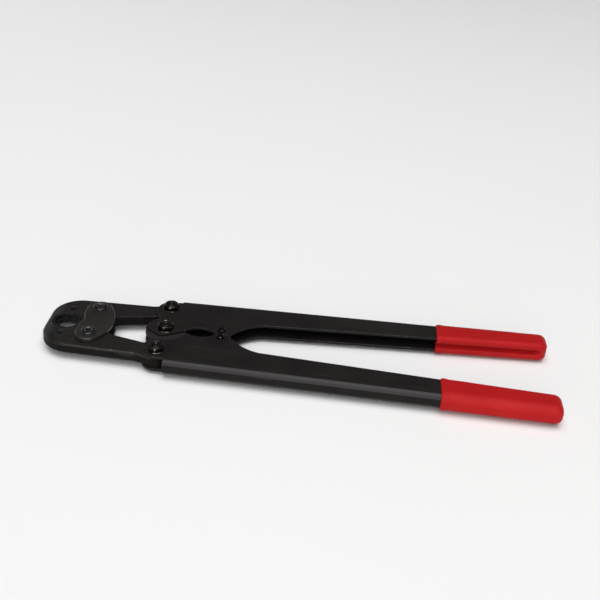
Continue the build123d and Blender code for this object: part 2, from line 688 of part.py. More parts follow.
# Stop sleeve: a hard bush between the flanges, which meets its twin when the jaws are closed
with BuildPart() as stop_sleeve:
    with BuildSketch():
        with Locations(stop):
            Circle(stop_sleeve_radius)
            Circle(STOP_BOLT_RADIUS + RUNNING_GAP, mode=Mode.SUBTRACT)
    extrude(amount=flange_bottom - SLEEVE_END_GAP, both=True)
save_pair(stop_sleeve.part, "stop_sleeve")

# Stop bolt: hexagon head above, plain shank down through the sleeve
stop_head = bevelled_hexagon(stop, stop_hex_flats, flange_top, STOP_HEAD_HEIGHT)
with BuildPart() as stop_bolt:
    add(stop_head)
    with BuildSketch(Plane.XY.offset(flange_top)):
        with Locations(stop):
            Circle(STOP_BOLT_RADIUS)
    extrude(amount=-(2 * flange_top + STOP_NUT_HEIGHT + STOP_BOLT_PROUD))
save_pair(stop_bolt.part, "stop_bolt")

# Stop nut: thin hexagon nut under the lower flange
with BuildPart() as stop_nut:
    with BuildSketch(Plane.XY.offset(-flange_top)):
        with Locations(stop):
            RegularPolygon(stop_hex_flats / 2, 6, major_radius=False)
            Circle(STOP_BOLT_RADIUS + THREAD_GAP, mode=Mode.SUBTRACT)
    extrude(amount=-STOP_NUT_HEIGHT)
save_pair(stop_nut.part, "stop_nut")
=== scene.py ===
import json
import math

import bmesh
import bpy
from mathutils import Matrix, Vector, noise


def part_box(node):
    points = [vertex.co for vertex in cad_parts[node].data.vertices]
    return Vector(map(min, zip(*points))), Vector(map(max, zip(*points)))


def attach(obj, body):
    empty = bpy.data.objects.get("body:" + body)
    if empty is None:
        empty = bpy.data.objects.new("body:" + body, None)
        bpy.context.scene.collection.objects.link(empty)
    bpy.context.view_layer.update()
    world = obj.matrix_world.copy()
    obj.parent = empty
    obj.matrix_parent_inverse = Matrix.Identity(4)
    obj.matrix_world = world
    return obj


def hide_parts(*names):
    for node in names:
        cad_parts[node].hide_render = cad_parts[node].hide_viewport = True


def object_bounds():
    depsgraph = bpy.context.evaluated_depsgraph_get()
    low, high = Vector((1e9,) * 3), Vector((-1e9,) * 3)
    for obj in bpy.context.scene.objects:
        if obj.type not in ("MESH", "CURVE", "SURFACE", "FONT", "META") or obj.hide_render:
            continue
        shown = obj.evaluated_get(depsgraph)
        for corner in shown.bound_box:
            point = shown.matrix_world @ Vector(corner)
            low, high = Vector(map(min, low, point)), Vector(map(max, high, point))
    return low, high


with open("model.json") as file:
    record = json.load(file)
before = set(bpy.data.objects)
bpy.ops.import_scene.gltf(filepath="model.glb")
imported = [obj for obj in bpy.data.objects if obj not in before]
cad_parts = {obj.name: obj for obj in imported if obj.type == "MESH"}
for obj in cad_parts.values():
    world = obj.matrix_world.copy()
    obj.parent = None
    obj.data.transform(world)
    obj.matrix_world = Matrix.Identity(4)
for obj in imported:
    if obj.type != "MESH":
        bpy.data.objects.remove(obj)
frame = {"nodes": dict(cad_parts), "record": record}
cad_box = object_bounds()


# Jaws
# Two flat drop-forged steel arms, sawn to a bevelled outline, ground on both flats and dipped
# in black phosphate. Each turns on a head pin at the front and on a jaw bolt at the rear.
JAW_EDGE_ROUND = 0.00055
JAW_COAT = (0.0098, 0.0090, 0.0087, 1.0)
JAW_STAIN = (0.0160, 0.0130, 0.0115, 1.0)
JAW_BARE = (0.165, 0.175, 0.165, 1.0)
JAW_EAR_REACH = 0.0152
# Painted highlight at the nose: the coat turns lighter towards the tip, in patches, in place of a
# reflection.
NOSE_SHEEN_FROM = -0.0085
NOSE_SHEEN_FULL = -0.0205
NOSE_PATCHES = 260.0
NOSE_BROKEN = (0.30, 0.70)
NOSE_SHARE = (0.08, 0.34)
# Darker, duller copy of the finish for the upright sides: partly the forging's own scale, partly painted
# shade.
SCALE_AND_SHADE_COAT = (0.0060, 0.0056, 0.0054, 1.0)
SCALE_AND_SHADE_STAIN = (0.0095, 0.0080, 0.0070, 1.0)
UPRIGHT = 0.35
SHARP_CORNER = math.radians(24)
FLAT_ENOUGH = math.radians(0.6)
WELD_DISTANCE = 0.00008
ROUND_STEPS = 2
FLAT_FACE_WEIGHT = 90


def middle(node):
    """Middle of the space that a node takes up."""
    low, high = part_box(node)
    return (low + high) / 2


def lay(tree, kind, sockets, settings=None):
    """Put one node into a tree, set or wire its sockets, and hand it back."""
    laid = tree.nodes.new(kind)
    for key, value in (settings or {}).items():
        setattr(laid, key, value)
    for key, value in sockets.items():
        if isinstance(value, bpy.types.NodeSocket):
            tree.links.new(value, laid.inputs[key])
        else:
            laid.inputs[key].default_value = value
    return laid


def start_group(name, inputs, outputs):
    """Open a shader group with named values going in and coming out."""
    group = bpy.data.node_groups.new(name, "ShaderNodeTree")
    for socket, value in inputs.items():
        entry = group.interface.new_socket(socket, in_out="INPUT", socket_type="NodeSocketFloat")
        entry.default_value = value
    for socket in outputs:
        group.interface.new_socket(socket, in_out="OUTPUT", socket_type="NodeSocketFloat")
    return group, group.nodes.new("NodeGroupInput"), group.nodes.new("NodeGroupOutput")


def ramp(tree, value, low, high, bottom=0.0, top=1.0):
    """Stretch a value between two limits, and stop it there."""
    sockets = {"Value": value, "From Min": low, "From Max": high, "To Min": bottom, "To Max": top}
    return lay(tree, "ShaderNodeMapRange", sockets).outputs["Result"]


def times(tree, one, other):
    """Multiply two values."""
    return lay(tree, "ShaderNodeMath", {0: one, 1: other}, {"operation": "MULTIPLY"}).outputs[0]


def plus(tree, one, other):
    """Add two values."""
    return lay(tree, "ShaderNodeMath", {0: one, 1: other}, {"operation": "ADD"}).outputs[0]


def minus(tree, one, other):
    """Take one value from another."""
    return lay(tree, "ShaderNodeMath", {0: one, 1: other}, {"operation": "SUBTRACT"}).outputs[0]


def more_of(tree, one, other):
    """The larger of two values."""
    return lay(tree, "ShaderNodeMath", {0: one, 1: other}, {"operation": "MAXIMUM"}).outputs[0]


def cloud(tree, scale, detail, roughness=0.55, stretch=None):
    """Noise fixed to the piece itself, stretched along its length where asked."""
    place = lay(tree, "ShaderNodeTexCoord", {}).outputs["Object"]
    if stretch:
        place = lay(tree, "ShaderNodeMapping", {"Vector": place, "Scale": stretch}).outputs[0]
    sockets = {"Vector": place, "Scale": scale, "Detail": detail, "Roughness": roughness}
    return lay(tree, "ShaderNodeTexNoise", sockets).outputs[0]


def blend_colour(tree, share, below, above):
    """Mix two colours by a mask. The sockets go by number, since their names repeat."""
    mixed = lay(tree, "ShaderNodeMix", {0: share, 6: below, 7: above}, {"data_type": "RGBA"})
    return mixed.outputs[2]


# Worn edges: the coat rubs through on the rounded corners first, in broken patches
PATCH_REACH = 0.72
PATCH_FADE = 0.22
worn_edges, given, made = start_group("worn_edges", {"Spread": 0.5, "Patches": 300.0}, ["Worn"])
rounded = lay(worn_edges, "ShaderNodeAttribute", {}, {"attribute_name": "rounded_edge"})
patches = cloud(worn_edges, given.outputs["Patches"], detail=5.0, roughness=0.65)
reach = minus(worn_edges, PATCH_REACH, given.outputs["Spread"])
broken = ramp(worn_edges, patches, reach, plus(worn_edges, reach, PATCH_FADE))
worn_edges.links.new(times(worn_edges, rounded.outputs["Fac"], broken), made.inputs["Worn"])

# Grain: a fine tooth over slow waves, as height for bump
surface_grain, given, made = start_group(
    "surface_grain", {"Tooth": 2500.0, "Waves": 120.0, "Wave Share": 0.5}, ["Height"]
)
tooth = cloud(surface_grain, given.outputs["Tooth"], detail=3.0)
waves = cloud(surface_grain, given.outputs["Waves"], detail=2.0)
lifted = times(surface_grain, waves, given.outputs["Wave Share"])
surface_grain.links.new(plus(surface_grain, tooth, lifted), made.inputs["Height"])

# Handling: fine scuffs along the tool, and smudges where it is held and stored
SCUFF_LINES = 55.0
SCUFF_STRETCH = (0.16, 9.0, 9.0)
SCUFF_FINE = (0.60, 0.72)
SCUFF_AREAS = 17.0
SCUFF_SPARSE = (0.46, 0.66)
SMUDGE_EDGE = (0.35, 0.68)
handling, given, made = start_group(
    "handling", {"Amount": 0.5, "Smudge Size": 28.0}, ["Scuffs", "Smudges"]
)
lines = cloud(handling, SCUFF_LINES, detail=3.0, roughness=0.6, stretch=SCUFF_STRETCH)
areas = cloud(handling, SCUFF_AREAS, detail=2.0)
sparse = ramp(handling, areas, *SCUFF_SPARSE)
fine = ramp(handling, lines, *SCUFF_FINE)
scuffed = times(handling, times(handling, fine, sparse), given.outputs["Amount"])
handling.links.new(scuffed, made.inputs["Scuffs"])
blots = cloud(handling, given.outputs["Smudge Size"], detail=4.0, roughness=0.6)
handling.links.new(ramp(handling, blots, *SMUDGE_EDGE), made.inputs["Smudges"])

# Swept rub: fine bright arcs where one flat turns on another about a pivot, on both sides alike
ARCS_PER_METRE = 2600.0
ARC_EDGE = (0.47, 0.70)
ARC_FADE = 0.93
swept_rub, given, made = start_group(
    "swept_rub", {"Pivot X": 0.0, "Pivot Y": 0.0, "Reach": 0.02, "Amount": 0.5}, ["Rubbed"]
)
place = lay(swept_rub, "ShaderNodeTexCoord", {}).outputs["Object"]
spot = lay(swept_rub, "ShaderNodeSeparateXYZ", {"Vector": place})
either_side = lay(swept_rub, "ShaderNodeMath", {0: spot.outputs["Y"]},
                  {"operation": "ABSOLUTE"}).outputs[0]
aside = lay(swept_rub, "ShaderNodeCombineXYZ", {
    "X": minus(swept_rub, spot.outputs["X"], given.outputs["Pivot X"]),
    "Y": minus(swept_rub, either_side, given.outputs["Pivot Y"]),
}).outputs[0]
away = lay(swept_rub, "ShaderNodeVectorMath", {0: aside}, {"operation": "LENGTH"}).outputs["Value"]
arcs = lay(swept_rub, "ShaderNodeTexNoise",
           {"W": times(swept_rub, away, ARCS_PER_METRE), "Scale": 1.0, "Detail": 3.0},
           {"noise_dimensions": "1D"}).outputs[0]
reach = given.outputs["Reach"]
within = ramp(swept_rub, away, reach, times(swept_rub, reach, ARC_FADE))
swept = times(swept_rub, ramp(swept_rub, arcs, *ARC_EDGE), within)
swept_rub.links.new(times(swept_rub, swept, given.outputs["Amount"]), made.inputs["Rubbed"])


STAIN_SHARE = 0.8
SCUFF_SHARE = 0.35
BARE_METAL = 0.9
WORN_POLISH = -0.10
SMUDGE_DULLING = (-0.03, 0.06)
TOOTH_STRENGTH = 0.55


def dark_steel(name, coat, stain, bare, dull, wear, tooth, waves, wave_share, relief,
               plated=False, sheen=0.5, rub_and_sheen=None):
    """Dark finish on steel: coat with stains, worn edges, scuffs, its own tooth, and a mask passed in
    for rubbed areas and painted highlight.
    """
    material = bpy.data.materials.new(name)
    material.use_nodes = True
    tree = material.node_tree
    shader = tree.nodes["Principled BSDF"]
    shader.inputs["Specular IOR Level"].default_value = sheen
    edges = lay(tree, "ShaderNodeGroup", {"Spread": wear}, {"node_tree": worn_edges})
    touched = lay(tree, "ShaderNodeGroup", {}, {"node_tree": handling})
    texture = lay(tree, "ShaderNodeGroup", {"Tooth": tooth, "Waves": waves, "Wave Share": wave_share},
                  {"node_tree": surface_grain})
    smudges = touched.outputs["Smudges"]
    worn = edges.outputs["Worn"]
    # The mask passed in lightens the coat like wear; on the jaws it also holds the painted highlight at
    # the nose.
    if rub_and_sheen:
        worn = more_of(tree, worn, rub_and_sheen(tree))
    stained = blend_colour(tree, times(tree, smudges, STAIN_SHARE), coat, stain)
    scuffed = blend_colour(tree, times(tree, touched.outputs["Scuffs"], SCUFF_SHARE), stained, bare)
    tree.links.new(blend_colour(tree, worn, scuffed, bare), shader.inputs["Base Color"])
    if plated:
        shader.inputs["Metallic"].default_value = 1.0
    else:
        tree.links.new(times(tree, worn, BARE_METAL), shader.inputs["Metallic"])
    polish = times(tree, worn, WORN_POLISH)
    shine = ramp(tree, smudges, 0.0, 1.0, *[dull + change for change in SMUDGE_DULLING])
    tree.links.new(plus(tree, shine, polish), shader.inputs["Roughness"])
    bump = lay(tree, "ShaderNodeBump", {"Strength": TOOTH_STRENGTH, "Distance": relief,
                                        "Height": texture.outputs["Height"]})
    tree.links.new(bump.outputs["Normal"], shader.inputs["Normal"])
    return material


def rounded_copy(node, ease):
    """Copy a node's shape with its flats joined up and its sharp corners rounded off."""
    shape = bmesh.new()
    shape.from_mesh(frame["nodes"][node].data)
    mark = shape.faces.layers.float.new("rounded_edge")
    bmesh.ops.remove_doubles(shape, verts=shape.verts, dist=WELD_DISTANCE)
    bmesh.ops.dissolve_limit(shape, angle_limit=FLAT_ENOUGH, verts=shape.verts, edges=shape.edges)
    corners = [edge for edge in shape.edges if edge.calc_face_angle(0.0) > SHARP_CORNER]
    eased = bmesh.ops.bevel(shape, geom=corners, offset=ease, offset_type="OFFSET",
                            segments=ROUND_STEPS, profile=0.5, affect="EDGES", clamp_overlap=False)
    for face in eased["faces"]:
        face[mark] = 1.0
    for face in shape.faces:
        face.smooth = True
    return shape


def set_piece(shape, name, node, *materials):
    """Turn a finished mesh into the visible piece that stands for a node."""
    mesh = bpy.data.meshes.new(name)
    shape.to_mesh(mesh)
    shape.free()
    piece = bpy.data.objects.new(name, mesh)
    bpy.context.scene.collection.objects.link(piece)
    for material in materials:
        mesh.materials.append(material)
    shading = piece.modifiers.new("flat_faces", "WEIGHTED_NORMAL")
    shading.weight = FLAT_FACE_WEIGHT
    shading.keep_sharp = True
    body = next(b for b, nodes in frame["record"]["behaviour"]["bodies"].items() if node in nodes)
    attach(piece, body)
    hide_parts(node)
    return piece


def nose_sheen_and_ear_rub(tree):
    """Painted highlight: the coat lighter towards the nose, in patches, in place of a reflection; and
    rub arcs under the handles' ears.
    """
    place = lay(tree, "ShaderNodeTexCoord", {}).outputs["Object"]
    along = lay(tree, "ShaderNodeSeparateXYZ", {"Vector": place}).outputs["X"]
    nose = ramp(tree, along, NOSE_SHEEN_FROM, NOSE_SHEEN_FULL)
    patches = cloud(tree, NOSE_PATCHES, detail=4.0, roughness=0.6)
    broken = ramp(tree, patches, *NOSE_BROKEN, *NOSE_SHARE)
    pivot = middle("upper_jaw_nut")
    arcs = lay(tree, "ShaderNodeGroup", {"Pivot X": pivot.x, "Pivot Y": pivot.y, "Reach": JAW_EAR_REACH},
               {"node_tree": swept_rub})
    return more_of(tree, times(tree, nose, broken), arcs.outputs["Rubbed"])


# The jaws' finish carries the painted highlight at the nose as well as the rub arcs.
jaw_finish = dark_steel("phosphated_forging", JAW_COAT, JAW_STAIN, JAW_BARE, dull=0.36, wear=0.14,
                        tooth=2200.0, waves=90.0, wave_share=2.5, relief=0.00010, sheen=0.22,
                        rub_and_sheen=nose_sheen_and_ear_rub)
jaw_sides_scale_and_shade = dark_steel("forging_scale_and_shade", SCALE_AND_SHADE_COAT, SCALE_AND_SHADE_STAIN, JAW_BARE, dull=0.58, wear=0.15,
                       tooth=700.0, waves=150.0, wave_share=1.8, relief=0.00022, sheen=0.06)
# Upright faces that are not rounded take the darker copy: partly scale, partly painted shade.
for side in ("upper", "lower"):
    forging = rounded_copy(f"{side}_jaw", JAW_EDGE_ROUND)
    worn_mark = forging.faces.layers.float["rounded_edge"]
    for face in forging.faces:
        if abs(face.normal.z) < UPRIGHT and face[worn_mark] == 0.0:
            face.material_index = 1
    jaw = set_piece(forging, f"{side}_jaw_forging", f"{side}_jaw", jaw_finish, jaw_sides_scale_and_shade)


# Die halves
# Turned from tool steel as one ring, grooved, sawn in two and hardened. A flat tang slides into
# the jaw, and a countersunk screw through the tang holds it.
DIE_EDGE_ROUND = 0.00025
# Darker than the jaws' coat: partly the hardened steel's own black, partly painted shade for the inside
# of the mouth.
DIE_COAT_AND_SHADE = (0.0050, 0.0047, 0.0046, 1.0)
DIE_STAIN = (0.0085, 0.0070, 0.0062, 1.0)
DIE_BARE = (0.16, 0.157, 0.15, 1.0)

die_finish = dark_steel("hardened_die_steel", DIE_COAT_AND_SHADE, DIE_STAIN, DIE_BARE, dull=0.42, wear=0.26,
                        tooth=3200.0, waves=400.0, wave_share=0.4, relief=0.00005, sheen=0.15)
for side in ("upper", "lower"):
    die = set_piece(rounded_copy(f"{side}_die", DIE_EDGE_ROUND), f"{side}_die_half", f"{side}_die",
                    die_finish)


# Die screws
# Countersunk machine screws with a hexagon socket, black oxide darkened further as painted shade, sunk
# flush into the jaws.
MM = 1000
SCREW_ANGLES = {"upper": 12.0, "lower": 40.0}
SCREW_SHANK = 3.0
SCREW_NECK = 8.95
SCREW_HEAD = 5.5
SCREW_TOP = 11.6
SCREW_KEY = 4.0
SCREW_KEY_MOUTH = 2.75
SCREW_KEY_REACH = 3.0
SCREW_KEY_TOP = 11.25
SCREW_KEY_FLOOR = 9.5
SCREW_KEY_POINT = 9.1
AROUND = 96
SIXTH = math.pi / 3
EASE_STEPS = 4
BEVEL_STEPS = 4
WORN_EASE = 0.6
SAME_POINT = 1e-6
CRISP_ANGLE = 32
# Near-black coat: on the die screws it is painted shade, as of a recess round the heads; the head pins
# share it as their own colour.
SCREW_SHADE_AND_PIN_COAT = (0.0060, 0.0058, 0.0058, 1.0)
SCREW_STAIN = (0.0090, 0.0082, 0.0080, 1.0)
SCREW_BARE = (0.30, 0.30, 0.30, 1.0)

screw_finish = dark_steel("black_oxide_screw_and_shade", SCREW_SHADE_AND_PIN_COAT, SCREW_STAIN, SCREW_BARE, dull=0.33, wear=0.22,
                          tooth=3500.0, waves=600.0, wave_share=0.3, relief=0.00004, sheen=0.25)


def corner(radius, level, ease=0.0, flats=None):
    """One corner of a turned profile in millimetres, eased off, or cut to a width across flats."""
    return radius, level, ease, flats


def turned_rings(corners):
    """Rings of a profile: an eased corner becomes a short curve, a hexagon's bevel several steps."""
    rings = []
    for number, (radius, level, ease, flats) in enumerate(corners):
        here = Vector((radius, level))
        if flats and rings[-1][2]:
            last = Vector(rings[-1][:2])
            for step in range(1, BEVEL_STEPS):
                rings.append((*last.lerp(here, step / BEVEL_STEPS), flats, False))
        if not ease:
            rings.append((radius, level, flats, False))
            continue
        start = here + (Vector(corners[number - 1][:2]) - here).normalized() * ease
        stop = here + (Vector(corners[number + 1][:2]) - here).normalized() * ease
        for step in range(EASE_STEPS + 1):
            share = step / EASE_STEPS
            spot = start.lerp(here, share).lerp(here.lerp(stop, share), share)
            rings.append((*spot, flats, step > 0 and ease < WORN_EASE))
    return rings


def standing(node, angle):
    """Axis and lowest level of a turned piece in millimetres, and the angle it came to rest at."""
    spot = middle(node)
    return spot.x * MM, spot.y * MM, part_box(node)[0].z * MM, angle


def turned_piece(corners, places, bored=False):
    """Turn a profile about the upright axes where its pieces stand."""
    shape = bmesh.new()
    mark = shape.faces.layers.float.new("rounded_edge")
    rings = turned_rings(corners)
    for x, y, bottom, angle in places:
        loops = []
        for radius, level, flats, worn in rings:
            loop = []
            for step in range(AROUND):
                turn = 2 * math.pi * step / AROUND
                reach = radius
                if flats:
                    reach = min(radius, flats / 2 / math.cos(turn % SIXTH - SIXTH / 2))
                at = turn + math.radians(angle)
                spot = (x + reach * math.cos(at), y + reach * math.sin(at), bottom + level)
                loop.append(shape.verts.new([distance / MM for distance in spot]))
            loops.append(loop)
        strips = list(zip(rings[1:], loops, loops[1:]))
        if bored:
            strips.append((rings[0], loops[-1], loops[0]))
        for (radius, level, flats, worn), low, high in strips:
            for step in range(AROUND):
                after = (step + 1) % AROUND
                face = shape.faces.new((low[step], low[after], high[after], high[step]))
                face.smooth = True
                from_corner = min(step % (AROUND // 6), -(step + 1) % (AROUND // 6))
                face[mark] = 1.0 if worn or (flats and from_corner == 0) else 0.0
    bmesh.ops.remove_doubles(shape, verts=shape.verts, dist=SAME_POINT)
    bmesh.ops.recalc_face_normals(shape, faces=shape.faces)
    return shape


def crisp(piece, limit=CRISP_ANGLE):
    """Keep edges sharper than a limit crisp, and the rest smooth."""
    piece.data.set_sharp_from_angle(angle=math.radians(limit))


screw_profile = [
    corner(0.0, 0.0), corner(SCREW_SHANK, 0.0, ease=0.4), corner(SCREW_SHANK, SCREW_NECK),
    corner(SCREW_HEAD, SCREW_TOP, ease=0.25), corner(SCREW_KEY_MOUTH, SCREW_TOP),
    corner(SCREW_KEY_REACH, SCREW_KEY_TOP, flats=SCREW_KEY),
    corner(SCREW_KEY_REACH, SCREW_KEY_FLOOR, flats=SCREW_KEY), corner(0.0, SCREW_KEY_POINT),
]
for side, angle in SCREW_ANGLES.items():
    node = f"{side}_die_screw"
    screw = set_piece(turned_piece(screw_profile, [standing(node, angle)]), f"{side}_tang_screw", node,
                      screw_finish)
    crisp(screw)


# Head plates
# Two equal cheeks blanked from 5 mm plate, edges broken, painted black. They sandwich the jaws
# and carry the head pins.
PLATE_EDGE_ROUND = 0.0004
PLATE_COAT = (0.0135, 0.0118, 0.0112, 1.0)
PLATE_STAIN = (0.0210, 0.0165, 0.0145, 1.0)
PLATE_BARE = (0.16, 0.157, 0.150, 1.0)

plate_finish = dark_steel("painted_cheek_plate", PLATE_COAT, PLATE_STAIN, PLATE_BARE, dull=0.35,
                          wear=0.18, tooth=1800.0, waves=260.0, wave_share=1.2, relief=0.00007,
                          sheen=0.35)
for level in ("top", "bottom"):
    plate = set_piece(rounded_copy(f"{level}_head_plate", PLATE_EDGE_ROUND), f"{level}_cheek_plate",
                      f"{level}_head_plate", plate_finish)


# Head pins and their screws
# Turned pins with low round heads and a hexagon socket, pulled tight from below by low-headed
# screws. Both are black oxide, polished a little where the key and the jaws touch them.
PIN_ANGLES = (18.0, -8.0)
PIN_HEAD = 8.5
PIN_HEAD_RIM = 8.35
PIN_HEAD_CROWN = 4.3
PIN_SHANK = 6.0
PIN_FOOT = 0.1
PIN_SHOULDER = 22.6
PIN_RIM_LEVEL = 24.9
PIN_TOP = 25.58
PIN_KEY = 6.0
PIN_KEY_MOUTH = (3.95, 25.5)
PIN_KEY_REACH = 4.0
PIN_KEY_TOP = 25.05
PIN_KEY_FLOOR = 24.0
PIN_KEY_POINT = 23.5
PIN_SCREW_SHANK = 3.0
PIN_SCREW_END = 17.0
PIN_SCREW_SHOULDER = 3.0
PIN_SCREW_RIM_LEVEL = 0.7
PIN_SCREW_KEY = 4.0
PIN_SCREW_KEY_MOUTH = 2.75
PIN_SCREW_KEY_REACH = 3.0
PIN_SCREW_KEY_TOP = 0.35
PIN_SCREW_KEY_FLOOR = 1.7
PIN_SCREW_KEY_POINT = 2.1


def pair_standing(node):
    """Axes of the upper and the lower piece of a pair that lies in one node."""
    x, y, bottom, angle = standing(node, 0.0)
    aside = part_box(node)[1].y * MM - PIN_HEAD
    return [(x, aside, bottom, PIN_ANGLES[0]), (x, -aside, bottom, PIN_ANGLES[1])]


pin_finish = dark_steel("black_oxide_pin", SCREW_SHADE_AND_PIN_COAT, SCREW_STAIN, SCREW_BARE, dull=0.22, wear=0.40,
                        tooth=3000.0, waves=500.0, wave_share=0.4, relief=0.00003)
pin_profile = [
    corner(0.0, PIN_FOOT), corner(PIN_SHANK, PIN_FOOT, ease=0.6), corner(PIN_SHANK, PIN_SHOULDER),
    corner(PIN_HEAD, PIN_SHOULDER, ease=0.25), corner(PIN_HEAD_RIM, PIN_RIM_LEVEL, ease=1.2),
    corner(PIN_HEAD_CROWN, PIN_TOP, ease=0.4), corner(*PIN_KEY_MOUTH),
    corner(PIN_KEY_REACH, PIN_KEY_TOP, flats=PIN_KEY),
    corner(PIN_KEY_REACH, PIN_KEY_FLOOR, flats=PIN_KEY), corner(0.0, PIN_KEY_POINT),
]
pins = set_piece(turned_piece(pin_profile, pair_standing("head_pins")), "head_pin_pair", "head_pins",
                 pin_finish)
crisp(pins)
pin_screw_profile = [
    corner(0.0, PIN_SCREW_END), corner(PIN_SCREW_SHANK, PIN_SCREW_END, ease=0.5),
    corner(PIN_SCREW_SHANK, PIN_SCREW_SHOULDER), corner(PIN_HEAD, PIN_SCREW_SHOULDER, ease=0.25),
    corner(PIN_HEAD_RIM, PIN_SCREW_RIM_LEVEL, ease=1.2), corner(PIN_HEAD_CROWN, 0.0, ease=0.4),
    corner(PIN_SCREW_KEY_MOUTH, 0.0),
    corner(PIN_SCREW_KEY_REACH, PIN_SCREW_KEY_TOP, flats=PIN_SCREW_KEY),
    corner(PIN_SCREW_KEY_REACH, PIN_SCREW_KEY_FLOOR, flats=PIN_SCREW_KEY),
    corner(0.0, PIN_SCREW_KEY_POINT),
]
pin_screws = set_piece(turned_piece(pin_screw_profile, pair_standing("head_pin_screws")),
                       "head_pin_screw_pair", "head_pin_screws", pin_finish)
crisp(pin_screws)


# Handles
# Channels pressed from 3 mm sheet, with ears blanked at the front for the pivots, and stoved
# black enamel over all. The web is the rounded outer side, and the open side faces inwards.
HANDLE_EDGE_ROUND = 0.0004
EAR_REACH = 0.0242
ENAMEL = (0.0098, 0.0086, 0.0084, 1.0)
ENAMEL_STAIN = (0.0150, 0.0120, 0.0112, 1.0)
ENAMEL_BARE = (0.15, 0.15, 0.155, 1.0)
WEB_UPRIGHT = 0.22


def ear_rub(tree):
    """Arcs on the stepped ears, which turn between the other handle's ears."""
    arcs = lay(tree, "ShaderNodeGroup", {"Pivot X": middle("centre_nut").x, "Reach": EAR_REACH},
               {"node_tree": swept_rub})
    return arcs.outputs["Rubbed"]


enamels = {
    "upper": dark_steel("stoved_black_enamel", ENAMEL, ENAMEL_STAIN, ENAMEL_BARE, dull=0.31, wear=0.18,
                        tooth=900.0, waves=210.0, wave_share=1.5, relief=0.00006, sheen=0.25),
    "lower": dark_steel("stoved_black_enamel_rubbed", ENAMEL, ENAMEL_STAIN, ENAMEL_BARE, dull=0.31,
                        wear=0.18, tooth=900.0, waves=210.0, wave_share=1.5, relief=0.00006, sheen=0.25,
                        rub_and_sheen=ear_rub),
}
# Painted shade: upright faces get a duller, less shiny copy of the same enamel colours, so they render
# darker.
side_shade_enamel = dark_steel("side_shade_black_enamel", ENAMEL, ENAMEL_STAIN, ENAMEL_BARE, dull=0.50, wear=0.15,
                        tooth=1100.0, waves=210.0, wave_share=1.2, relief=0.00007, sheen=0.08)
for side in ("upper", "lower"):
    channel = rounded_copy(f"{side}_handle", HANDLE_EDGE_ROUND)
    # Upright faces take the shaded copy of the enamel.
    for face in channel.faces:
        if abs(face.normal.z) < WEB_UPRIGHT:
            face.material_index = 1
    handle = set_piece(channel, f"{side}_channel_handle", f"{side}_handle", enamels[side], side_shade_enamel)


# Pivot bolts, washers and the centre spacer
# Plain-shank bolts with low domed heads below. A flat washer lies under each nut, and a bush
# keeps the two inner ears apart. All are zinc plated and passivated dark.
PIVOT_ANGLES = {"upper_jaw": 27.0, "lower_jaw": 33.0, "centre": 22.0}
BOLT_SHANK = 5.0
BOLT_HEAD = 10.0
BOLT_SHOULDER = 3.6
BOLT_END = 29.9
BOLT_CENTRE_HOLE = 1.4
BOLT_CENTRE_POINT = 28.8
WASHER_EDGE_ROUND = 0.0002
SPACER_EDGE_ROUND = 0.0003
ZINC = (0.035, 0.029, 0.0255, 1.0)
ZINC_STAIN = (0.024, 0.0195, 0.0165, 1.0)
ZINC_BARE = (0.30, 0.293, 0.28, 1.0)

zinc = dark_steel("dark_zinc", ZINC, ZINC_STAIN, ZINC_BARE, dull=0.30, wear=0.28,
                  tooth=2600.0, waves=300.0, wave_share=0.6, relief=0.00005, plated=True)
bolt_profile = [
    corner(0.0, 0.0), corner(BOLT_HEAD, 0.0, ease=2.4), corner(BOLT_HEAD, BOLT_SHOULDER, ease=0.2),
    corner(BOLT_SHANK, BOLT_SHOULDER), corner(BOLT_SHANK, BOLT_END, ease=0.9),
    corner(BOLT_CENTRE_HOLE, BOLT_END, ease=0.25), corner(0.0, BOLT_CENTRE_POINT),
]
for place, angle in PIVOT_ANGLES.items():
    washer = set_piece(rounded_copy(f"{place}_washer", WASHER_EDGE_ROUND), f"{place}_flat_washer",
                       f"{place}_washer", zinc)
    shank = turned_piece(bolt_profile, [standing(f"{place}_bolt", angle)])
    bolt = set_piece(shank, f"{place}_pivot_bolt", f"{place}_bolt", zinc)
    crisp(bolt)
spacer = set_piece(rounded_copy("centre_spacer", SPACER_EDGE_ROUND), "centre_bush", "centre_spacer",
                   zinc)


# Lock nuts
# Hexagon lock nuts with a rolled collar that holds their ring, pressed and tapped, run down on
# the washers. Each came to rest at its own angle.
NUT_BORE = 5.05
NUT_BORE_FROM = 0.8
NUT_MOUTH = 5.75
NUT_FOOT = 8.0
NUT_FLATS = 17.0
NUT_CORNER = 9.55
NUT_CORNER_FROM = 0.95
NUT_CORNER_TO = 4.05
NUT_CROWN = 8.1
NUT_HEX_TOP = 5.02
NUT_COLLAR = 7.5
NUT_COLLAR_RIM = 7.4
NUT_TOP = 6.4
NUT_TOP_MOUTH = 5.7
NUT_RING = 5.4
NUT_RING_LEVEL = 5.9

